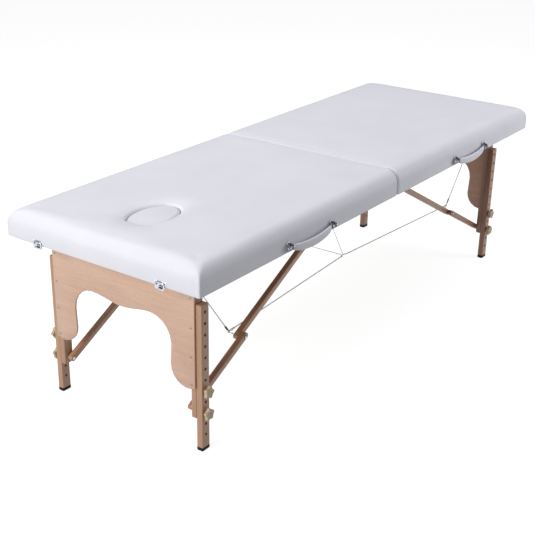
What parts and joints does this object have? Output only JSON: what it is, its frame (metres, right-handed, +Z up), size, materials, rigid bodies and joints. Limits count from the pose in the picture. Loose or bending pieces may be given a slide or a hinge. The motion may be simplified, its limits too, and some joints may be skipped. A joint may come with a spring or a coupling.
{
  "type": "folding facial treatment bed",
  "caption": "Padded facial and massage bed that folds in half like a case, on wooden legs with adjustable feet, folding braces and cables.",
  "frame": {"origin": "on the floor under the middle of the bed", "axes": "+X from the head end, which has the face hole, to the foot end; +Y from the long side with the handles to the far side; +Z up"},
  "size_m": [1.8594, 0.68, 0.567],
  "materials": {
    "white_vinyl": "soft satin vinyl with a fine leather grain",
    "beech_wood": "satin varnished beech",
    "panel_plywood": "satin varnished plywood",
    "frame_wood": "planed softwood",
    "deck_plywood": "sanded plywood",
    "steel": "zinc plated",
    "steel_cable": "twisted wire rope",
    "chrome": "polished chrome",
    "black_rubber": "matt",
    "knob_plastic": "satin moulded, beige"
  },
  "bodies": {
    "head_half": {"head_cushion": "white_vinyl", "head_deck": "deck_plywood", "head_frame": "frame_wood", "head_leg_rod": "steel", "head_hinge_leaf_near": "steel", "head_side_cable_near": "steel_cable", "head_hinge_leaf_far": "steel", "head_side_cable_far": "steel_cable", "head_handle_bracket_outer": "chrome", "head_handle_bracket_inner": "chrome", "cross_cable": "steel_cable", "latch_plate_near": "chrome", "latch_plate_far": "chrome"},
    "foot_half": {"foot_cushion": "white_vinyl", "foot_deck": "deck_plywood", "foot_frame": "frame_wood", "foot_leg_rod": "steel", "foot_hinge_leaf_near": "steel", "foot_side_cable_near": "steel_cable", "foot_hinge_leaf_far": "steel", "foot_side_cable_far": "steel_cable", "foot_handle_bracket_outer": "chrome", "foot_handle_bracket_inner": "chrome", "latch_strike_near": "chrome", "latch_strike_far": "chrome"},
    "face_plug": {"face_hole_plug": "white_vinyl"},
    "latch_lever_near": {"latch_lever_near": "chrome"},
    "latch_lever_far": {"latch_lever_far": "chrome"},
    "head_handle": {"head_handle": "white_vinyl"},
    "head_leg_frame": {"head_end_panel": "panel_plywood", "head_inner_leg_near": "beech_wood", "head_inner_leg_far": "beech_wood"},
    "head_leg_slide_near": {"head_outer_leg_near": "beech_wood", "head_rubber_foot_near": "black_rubber"},
    "head_upper_knob_near": {"head_upper_knob_near": "knob_plastic"},
    "head_lower_knob_near": {"head_lower_knob_near": "knob_plastic"},
    "head_lower_brace_near": {"head_lower_brace_near": "beech_wood"},
    "head_upper_brace_near": {"head_upper_brace_near": "beech_wood"},
    "head_leg_slide_far": {"head_outer_leg_far": "beech_wood", "head_rubber_foot_far": "black_rubber"},
    "head_upper_knob_far": {"head_upper_knob_far": "knob_plastic"},
    "head_lower_knob_far": {"head_lower_knob_far": "knob_plastic"},
    "head_lower_brace_far": {"head_lower_brace_far": "beech_wood"},
    "head_upper_brace_far": {"head_upper_brace_far": "beech_wood"},
    "foot_handle": {"foot_handle": "white_vinyl"},
    "foot_leg_frame": {"foot_end_panel": "panel_plywood", "foot_inner_leg_near": "beech_wood", "foot_inner_leg_far": "beech_wood"},
    "foot_leg_slide_near": {"foot_outer_leg_near": "beech_wood", "foot_rubber_foot_near": "black_rubber"},
    "foot_upper_knob_near": {"foot_upper_knob_near": "knob_plastic"},
    "foot_lower_knob_near": {"foot_lower_knob_near": "knob_plastic"},
    "foot_lower_brace_near": {"foot_lower_brace_near": "beech_wood"},
    "foot_upper_brace_near": {"foot_upper_brace_near": "beech_wood"},
    "foot_leg_slide_far": {"foot_outer_leg_far": "beech_wood", "foot_rubber_foot_far": "black_rubber"},
    "foot_upper_knob_far": {"foot_upper_knob_far": "knob_plastic"},
    "foot_lower_knob_far": {"foot_lower_knob_far": "knob_plastic"},
    "foot_lower_brace_far": {"foot_lower_brace_far": "beech_wood"},
    "foot_upper_brace_far": {"foot_upper_brace_far": "beech_wood"}
  },
  "joints": [
    {"name": "centre_fold", "type": "hinge", "parent": "head_half", "child": "foot_half", "pos_m": [0, 0, 0.4835], "axis": [0, 1, 0], "range_deg": [0, 150], "deforming": ["head_side_cable_near", "head_side_cable_far", "foot_side_cable_near", "foot_side_cable_far", "cross_cable"]},
    {"name": "head_leg_fold", "type": "hinge", "parent": "head_half", "child": "head_leg_frame", "pos_m": [-0.8265, 0, 0.5085], "axis": [0, -1, 0], "range_deg": [0, 89.01]},
    {"name": "head_lower_brace_turn_near", "type": "hinge", "parent": "head_leg_frame", "child": "head_lower_brace_near", "pos_m": [-0.8265, -0.2192, 0.113], "axis": [0, -1, 0], "range_deg": [0, 59.12]},
    {"name": "head_upper_brace_turn_near", "type": "hinge", "parent": "head_half", "child": "head_upper_brace_near", "pos_m": [-0.085, -0.2027, 0.5085], "axis": [0, 1, 0], "range_deg": [0, 29.01]},
    {"name": "head_leg_extend_near", "type": "slide", "parent": "head_leg_frame", "child": "head_leg_slide_near", "axis": [0, 0, -1], "range_m": [-0.064, 0.224]},
    {"name": "head_upper_knob_turn_near", "type": "hinge", "parent": "head_leg_frame", "child": "head_upper_knob_near", "pos_m": [-0.8265, -0.2661, 0.175], "axis": [0, -1, 0], "continuous": true},
    {"name": "head_lower_knob_turn_near", "type": "hinge", "parent": "head_leg_frame", "child": "head_lower_knob_near", "pos_m": [-0.8265, -0.2661, 0.111], "axis": [0, -1, 0], "continuous": true},
    {"name": "head_lower_brace_turn_far", "type": "hinge", "parent": "head_leg_frame", "child": "head_lower_brace_far", "pos_m": [-0.8265, 0.2192, 0.113], "axis": [0, -1, 0], "range_deg": [0, 59.12]},
    {"name": "head_upper_brace_turn_far", "type": "hinge", "parent": "head_half", "child": "head_upper_brace_far", "pos_m": [-0.085, 0.2027, 0.5085], "axis": [0, 1, 0], "range_deg": [0, 29.01]},
    {"name": "head_leg_extend_far", "type": "slide", "parent": "head_leg_frame", "child": "head_leg_slide_far", "axis": [0, 0, -1], "range_m": [-0.064, 0.224]},
    {"name": "head_upper_knob_turn_far", "type": "hinge", "parent": "head_leg_frame", "child": "head_upper_knob_far", "pos_m": [-0.8265, 0.2661, 0.175], "axis": [0, 1, 0], "continuous": true},
    {"name": "head_lower_knob_turn_far", "type": "hinge", "parent": "head_leg_frame", "child": "head_lower_knob_far", "pos_m": [-0.8265, 0.2661, 0.111], "axis": [0, 1, 0], "continuous": true},
    {"name": "foot_leg_fold", "type": "hinge", "parent": "foot_half", "child": "foot_leg_frame", "pos_m": [0.8265, 0, 0.5085], "axis": [0, 1, 0], "range_deg": [0, 89.01]},
    {"name": "foot_lower_brace_turn_near", "type": "hinge", "parent": "foot_leg_frame", "child": "foot_lower_brace_near", "pos_m": [0.8265, -0.2192, 0.113], "axis": [0, 1, 0], "range_deg": [0, 59.12]},
    {"name": "foot_upper_brace_turn_near", "type": "hinge", "parent": "foot_half", "child": "foot_upper_brace_near", "pos_m": [0.085, -0.2027, 0.5085], "axis": [0, -1, 0], "range_deg": [0, 29.01]},
    {"name": "foot_leg_extend_near", "type": "slide", "parent": "foot_leg_frame", "child": "foot_leg_slide_near", "axis": [0, 0, -1], "range_m": [-0.064, 0.224]},
    {"name": "foot_upper_knob_turn_near", "type": "hinge", "parent": "foot_leg_frame", "child": "foot_upper_knob_near", "pos_m": [0.8265, -0.2661, 0.175], "axis": [0, -1, 0], "continuous": true},
    {"name": "foot_lower_knob_turn_near", "type": "hinge", "parent": "foot_leg_frame", "child": "foot_lower_knob_near", "pos_m": [0.8265, -0.2661, 0.111], "axis": [0, -1, 0], "continuous": true},
    {"name": "foot_lower_brace_turn_far", "type": "hinge", "parent": "foot_leg_frame", "child": "foot_lower_brace_far", "pos_m": [0.8265, 0.2192, 0.113], "axis": [0, 1, 0], "range_deg": [0, 59.12]},
    {"name": "foot_upper_brace_turn_far", "type": "hinge", "parent": "foot_half", "child": "foot_upper_brace_far", "pos_m": [0.085, 0.2027, 0.5085], "axis": [0, -1, 0], "range_deg": [0, 29.01]},
    {"name": "foot_leg_extend_far", "type": "slide", "parent": "foot_leg_frame", "child": "foot_leg_slide_far", "axis": [0, 0, -1], "range_m": [-0.064, 0.224]},
    {"name": "foot_upper_knob_turn_far", "type": "hinge", "parent": "foot_leg_frame", "child": "foot_upper_knob_far", "pos_m": [0.8265, 0.2661, 0.175], "axis": [0, 1, 0], "continuous": true},
    {"name": "foot_lower_knob_turn_far", "type": "hinge", "parent": "foot_leg_frame", "child": "foot_lower_knob_far", "pos_m": [0.8265, 0.2661, 0.111], "axis": [0, 1, 0], "continuous": true},
    {"name": "face_plug_lift", "type": "slide", "parent": "head_half", "child": "face_plug", "axis": [0, 0, 1], "range_m": [0, 0.12]},
    {"name": "latch_turn_near", "type": "hinge", "parent": "head_half", "child": "latch_lever_near", "pos_m": [-0.9291, -0.21, 0.4985], "axis": [0, 1, 0], "range_deg": [0, 110]},
    {"name": "latch_turn_far", "type": "hinge", "parent": "head_half", "child": "latch_lever_far", "pos_m": [-0.9291, 0.21, 0.4985], "axis": [0, 1, 0], "range_deg": [0, 110]},
    {"name": "head_handle_swing", "type": "hinge", "parent": "head_half", "child": "head_handle", "pos_m": [-0.4665, -0.338, 0.504], "axis": [-1, 0, 0], "range_deg": [0, 68]},
    {"name": "foot_handle_swing", "type": "hinge", "parent": "foot_half", "child": "foot_handle", "pos_m": [0.4665, -0.338, 0.504], "axis": [-1, 0, 0], "range_deg": [0, 68]}
  ],
  "couplings": [
    {"joint": "head_leg_fold", "follows": "centre_fold", "ratio": 0.59333},
    {"joint": "head_lower_brace_turn_near", "follows": "centre_fold", "ratio": 0.39407},
    {"joint": "head_upper_brace_turn_near", "follows": "centre_fold", "ratio": 0.19333},
    {"joint": "head_lower_brace_turn_far", "follows": "centre_fold", "ratio": 0.39407},
    {"joint": "head_upper_brace_turn_far", "follows": "centre_fold", "ratio": 0.19333},
    {"joint": "foot_leg_fold", "follows": "centre_fold", "ratio": 0.59333},
    {"joint": "foot_lower_brace_turn_near", "follows": "centre_fold", "ratio": 0.39407},
    {"joint": "foot_upper_brace_turn_near", "follows": "centre_fold", "ratio": 0.19333},
    {"joint": "foot_lower_brace_turn_far", "follows": "centre_fold", "ratio": 0.39407},
    {"joint": "foot_upper_brace_turn_far", "follows": "centre_fold", "ratio": 0.19333}
  ]
}
